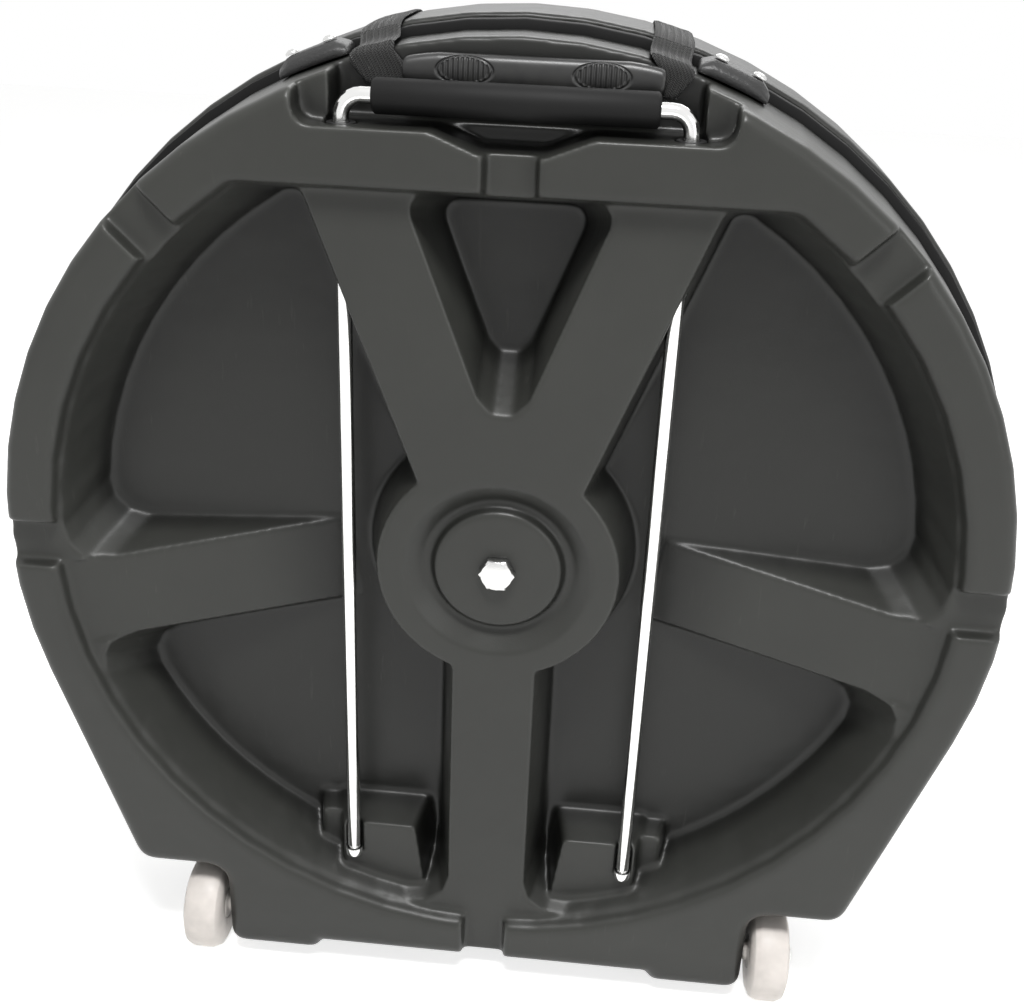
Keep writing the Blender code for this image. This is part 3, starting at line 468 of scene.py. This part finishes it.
# Faces of a tube through rings of the same count, closed at both ends
def ringFaces(rings, count):
    faces = []
    for i in range(rings - 1):
        for j in range(count):
            k = (j + 1) % count
            faces.append((i * count + j, i * count + k, (i + 1) * count + k, (i + 1) * count + j))
    faces.append(tuple(reversed(range(count))))
    faces.append(tuple((rings - 1) * count + j for j in range(count)))
    return faces


# Cuts the corners off an open run of points, keeping its ends
def easedRun(points, passes):
    for i in range(passes):
        eased = [points[0]]
        for first, second in zip(points, points[1:]):
            eased += [first.lerp(second, 0.25), first.lerp(second, 0.75)]
        points = eased + [points[-1]]
    return points


webbing = {
    "width": 0.0246,
    "thickness": 0.0019,
    "edgeRound": 0.0016,
    "edgeThin": 0.35,               # share of the thickness left at the very edge
    "columns": 10,
    "rippleAcross": 1.6,
    "rippleAlong": 55,
}


# Woven webbing: a row holds its middle, the way across it, the way out of it and its width
def webbingPiece(name, rows, rippleDepth, body, *replaced, seed=0.0):
    half = webbing["columns"]
    points = []
    places = []
    length = 0.0
    for i, (middle, across, out, width) in enumerate(rows):
        length += (middle - rows[i - 1][0]).length if i else 0.0
        for side in (1, -1):
            for j in range(half + 1):
                u = side * (1 - 2 * j / half)
                edge = min((1 - abs(u)) * width / 2 / webbing["edgeRound"], 1.0)
                full = webbing["edgeThin"] + (1 - webbing["edgeThin"]) * sqrt(edge * (2 - edge))
                thick = webbing["thickness"] / 2 * full
                place = Vector((u * webbing["rippleAcross"], length * webbing["rippleAlong"], seed))
                ripple = rippleDepth * noise.noise(place)
                points.append(middle + across * (u * width / 2) + out * (side * thick + ripple))
                places.append((u * width / 2, length, side))
    faces = ringFaces(len(rows), 2 * (half + 1))
    return addPiece(name, points, faces, finishes["black_webbing"], body, *replaced, places=places)


# Rows of a strap that runs along (y, r) points at an angle from the top of the case
def leaningRows(path, angle, width):
    turn = Matrix.Rotation(radians(angle), 3, "Y")
    run = easedRun([Vector(point) for point in path], 2)
    rows = []
    for i, here in enumerate(run):
        way = (run[min(i + 1, len(run) - 1)] - run[max(i - 1, 0)]).normalized()
        middle = turn @ Vector((0.0, here.x, here.y))
        out = turn @ Vector((0.0, -way.y, way.x))
        rows.append((spot(*middle), turn @ Vector((1.0, 0.0, 0.0)), out, width))
    return rows


# Straps over the seam, their roots on the base and their tails behind the buckles

strapping = {
    "ripple": 0.0003,
    "seamRoot": [(0.0455, 0.3244), (0.0600, 0.3246), (0.0680, 0.3250), (0.0754, 0.3303)],
    "overLid": [(0.0764, 0.3303), (0.0870, 0.3333), (0.1500, 0.3333), (0.1627, 0.3307), (0.1706, 0.3262),
                (0.1736, 0.3225), (0.1738, 0.3050), (0.1736, 0.2850), (0.1713, 0.2790), (0.1713, 0.2709)],
    "tail": [(0.1713, 0.2245), (0.1714, 0.2120), (0.1713, 0.1998)],
    "bottomRoot": [(0.0300, 0.3227), (0.0480, 0.3236), (0.0680, 0.3248), (0.0754, 0.3303)],
    "leans": {"left": -15.0, "right": 15.0, "bottom": 180.0},
}

ripple = strapping["ripple"]
for word, angle in strapping["leans"].items():
    over = leaningRows(strapping["overLid"], angle, webbing["width"])
    webbingPiece(f"webbing_over_lid_{word}", over, ripple, "lid", f"closure_strap_{word}", seed=angle)
    tail = leaningRows(strapping["tail"], angle, webbing["width"])
    webbingPiece(f"webbing_tail_{word}", tail, ripple, "lid", f"lid_strap_{word}", seed=angle + 3)
root = leaningRows(strapping["bottomRoot"], strapping["leans"]["bottom"], webbing["width"])
webbingPiece("webbing_root_bottom", root, ripple, "base", "band_root_bottom", seed=7.0)


# The two bands of the carrying grip: each comes over the rim, bends at its edge and narrows into the grip

carrying = {
    "ripple": 0.0004,
    "rimHeight": 0.3118,
    "bandDepth": 0.0440,
    "levels": 7,
    "narrowing": 2.2,               # how soon the near edge reaches the grip
    "taper": 0.0095,
    "taperFrom": 0.35,
    "left": {"side": -1, "angle": -15.0, "gripEnd": 0.0655},
    "right": {"side": 1, "angle": 15.0, "gripEnd": 0.0815},
    "outer": 0.0976,
    "inner": 0.0738,
    "gripBottom": 0.2928,
    "bendStart": (0.0, 0.0470, 0.3200),
    "bendEnd": (0.0, 0.0440, 0.3060),
}


def bandRows(values, side, angle, gripEnd):
    rows = leaningRows(strapping["seamRoot"], angle, webbing["width"])
    rows.reverse()
    for i in range(values["levels"]):
        share = (i + 0.6) / (values["levels"] - 0.4)
        height = values["rimHeight"] + (values["gripBottom"] - values["rimHeight"]) * share
        near = values["inner"] + (gripEnd - values["inner"]) * min(share * values["narrowing"], 1.0)
        narrowed = max(share - values["taperFrom"], 0.0) / (1 - values["taperFrom"])
        far = values["outer"] - values["taper"] * narrowed
        middle = spot(side * (near + far) / 2, values["bandDepth"], height)
        tilt = radians(angle) * (1 - share) * 0.6
        across = Vector((cos(tilt), 0.0, -sin(tilt)))
        rows.append((middle, across, Vector((0.0, -1.0, 0.0)), far - near))
    return rows


for word in ("left", "right"):
    rows = bandRows(carrying, **carrying[word])
    band = webbingPiece(f"webbing_band_{word}", rows, carrying["ripple"], None, f"band_root_{word}",
                        f"carry_band_{word}", seed=carrying[word]["side"] * 5.0)
    spot(*carrying["bendStart"])
    spot(*carrying["bendEnd"])
    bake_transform(band)
print("webbing woven")


# The carrying grip: soft rubber with two ribbed oval pads, its middle left bare

gripping = {
    "start": -0.0657,
    "end": 0.0817,
    "middleY": 0.0393,
    "middleZ": 0.3020,
    "halfY": 0.0064,
    "halfZ": 0.0104,
    "padMiddles": (-0.0305, 0.0465),
    "padRaise": 0.0020,
    "padLength": 0.0170,
    "padHeight": 0.0080,
    "slots": 6,
    "slotsWithin": 0.84,            # shares of the pad's outline
    "grooveAt": 0.93,
    "grooveHalf": 0.07,
    "slotDepth": 0.0012,
    "squareness": 0.72,
    "swellRun": 0.020,
    "swellLeast": 0.60,
    "lipRun": 0.0025,
    "lipLeast": 0.80,
    "stepAlong": 0.0005,
    "around": 120,
}


def padRelief(values, x, z):
    for middle in values["padMiddles"]:
        across = (x - middle) / values["padLength"]
        tall = (z - values["middleZ"] - values["padRaise"]) / values["padHeight"]
        reach = sqrt(across ** 2 + tall ** 2)
        if reach < 1.0:
            groove = 1.0 - min(abs(reach - values["grooveAt"]) / values["grooveHalf"], 1.0)
            stripe = cos((across * values["slots"] + 0.5) * pi) ** 2
            slot = stripe if reach < values["slotsWithin"] else 0.0
            return -values["slotDepth"] * max(groove, slot)
    return 0.0


# A cosine or sine drawn out towards a square
def squared(wave, values):
    return abs(wave) ** values["squareness"] * (1 if wave > 0 else -1)


def buildGrip(values):
    count = ceil((values["end"] - values["start"]) / values["stepAlong"])
    around = values["around"]
    points = []
    for i in range(count + 1):
        x = values["start"] + (values["end"] - values["start"]) * i / count
        fromEnd = max(min(x - values["start"], values["end"] - x), 0.0)
        grown = min(fromEnd / values["swellRun"], 1.0) ** 0.5
        swell = values["swellLeast"] + (1 - values["swellLeast"]) * grown
        lip = min(fromEnd / values["lipRun"], 1.0)
        size = values["lipLeast"] + (1 - values["lipLeast"]) * sqrt(lip * (2 - lip))
        for j in range(around):
            turn = 2 * pi * j / around
            y = squared(cos(turn), values)
            depth = values["middleY"] + values["halfY"] * y * size
            height = values["middleZ"] + values["halfZ"] * squared(sin(turn), values) * size * swell
            if y < -0.2:
                depth -= padRelief(values, x, height)
            points.append(spot(x, depth, height))
    faces = [tuple(reversed(face)) for face in ringFaces(count + 1, around)]
    addPiece("grip_rubber", points, faces, rubberFinish(), "carry_handle", "carry_grip")


def rubberFinish():
    finish = Finish("grip_rubber")
    grain = finish.noise(1300.0, 2.0, 0.6)
    cloud = finish.noise(60.0, 4.0, 0.6)
    streak = finish.noise(420.0, 3.0, 0.6, finish.stretched(0.08, 1.0, 1.0))
    base = finish.mix(cloud.ease(0.35, 0.7), (0.013, 0.013, 0.013), (0.022, 0.022, 0.021))
    base = finish.mix(streak.ease(0.62, 0.8) * 0.25, base, (0.08, 0.08, 0.076))
    normal = finish.bump(grain, 0.00004, 0.6)
    return finish.surface(Base_Color=base, Roughness=0.27 + cloud * 0.14 + streak * 0.05, Normal=normal,
                          Specular_IOR_Level=0.6)


buildGrip(gripping)
print("carrying grip built")


# Foam and felt: copies of their solids, blown soft, with the pores of what they are made of

padding = {
    "base_foam": {"body": "base", "voxel": 0.0045, "ripple": 0.0005, "shrink": 0.0004},
    "lid_foam": {"body": "lid", "voxel": 0.0045, "ripple": 0.0005, "shrink": 0.0004},
    "lid_lining": {"body": "lid", "voxel": 0.0040, "ripple": 0.0004, "shrink": 0.0003},
    "lower_felt": {"body": "base", "voxel": 0.0010, "ripple": 0.0003, "shrink": 0.0002},
    "upper_felt": {"body": "post_felt", "voxel": 0.0010, "ripple": 0.0003, "shrink": 0.0002},
}
padSkin = {"passes": 3, "rippleScale": 38}


def padPiece(node, body, voxel, ripple, shrink, finish):
    source = nodes[node]
    item = bpy.data.objects.new(f"soft_{node}", source.data.copy())
    bpy.context.collection.objects.link(item)
    item.matrix_world = source.matrix_world
    item.data.materials.clear()
    item.data.materials.append(finish)
    remesh = item.modifiers.new("skin", "REMESH")
    remesh.mode = "VOXEL"
    remesh.voxel_size = voxel
    smooth = item.modifiers.new("edges", "SMOOTH")
    smooth.iterations = padSkin["passes"]
    mesh = bpy.data.meshes.new_from_object(item.evaluated_get(bpy.context.evaluated_depsgraph_get()))
    item.modifiers.clear()
    item.data = mesh
    for vertex in mesh.vertices:
        wave = noise.noise(vertex.co * padSkin["rippleScale"]) * ripple
        vertex.co += vertex.normal * (min(wave, shrink) - shrink)
    mesh.shade_smooth()
    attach(item, body)
    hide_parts(node)


for node, values in padding.items():
    padPiece(node, finish=finishes[slots[node]], **values)
print("foam and felt made")


# The two mouldings get the round edges of a plastic that fills its mould slowly

rounding = {"voxel": 0.0016, "passes": 11}


def soften(item, values):
    remesh = item.modifiers.new("skin", "REMESH")
    remesh.mode = "VOXEL"
    remesh.voxel_size = values["voxel"]
    remesh.use_smooth_shade = True
    smooth = item.modifiers.new("edges", "SMOOTH")
    smooth.factor = 0.5
    smooth.iterations = values["passes"]


for name in mouldings:
    soften(nodes[name], rounding)
print("mouldings rounded")
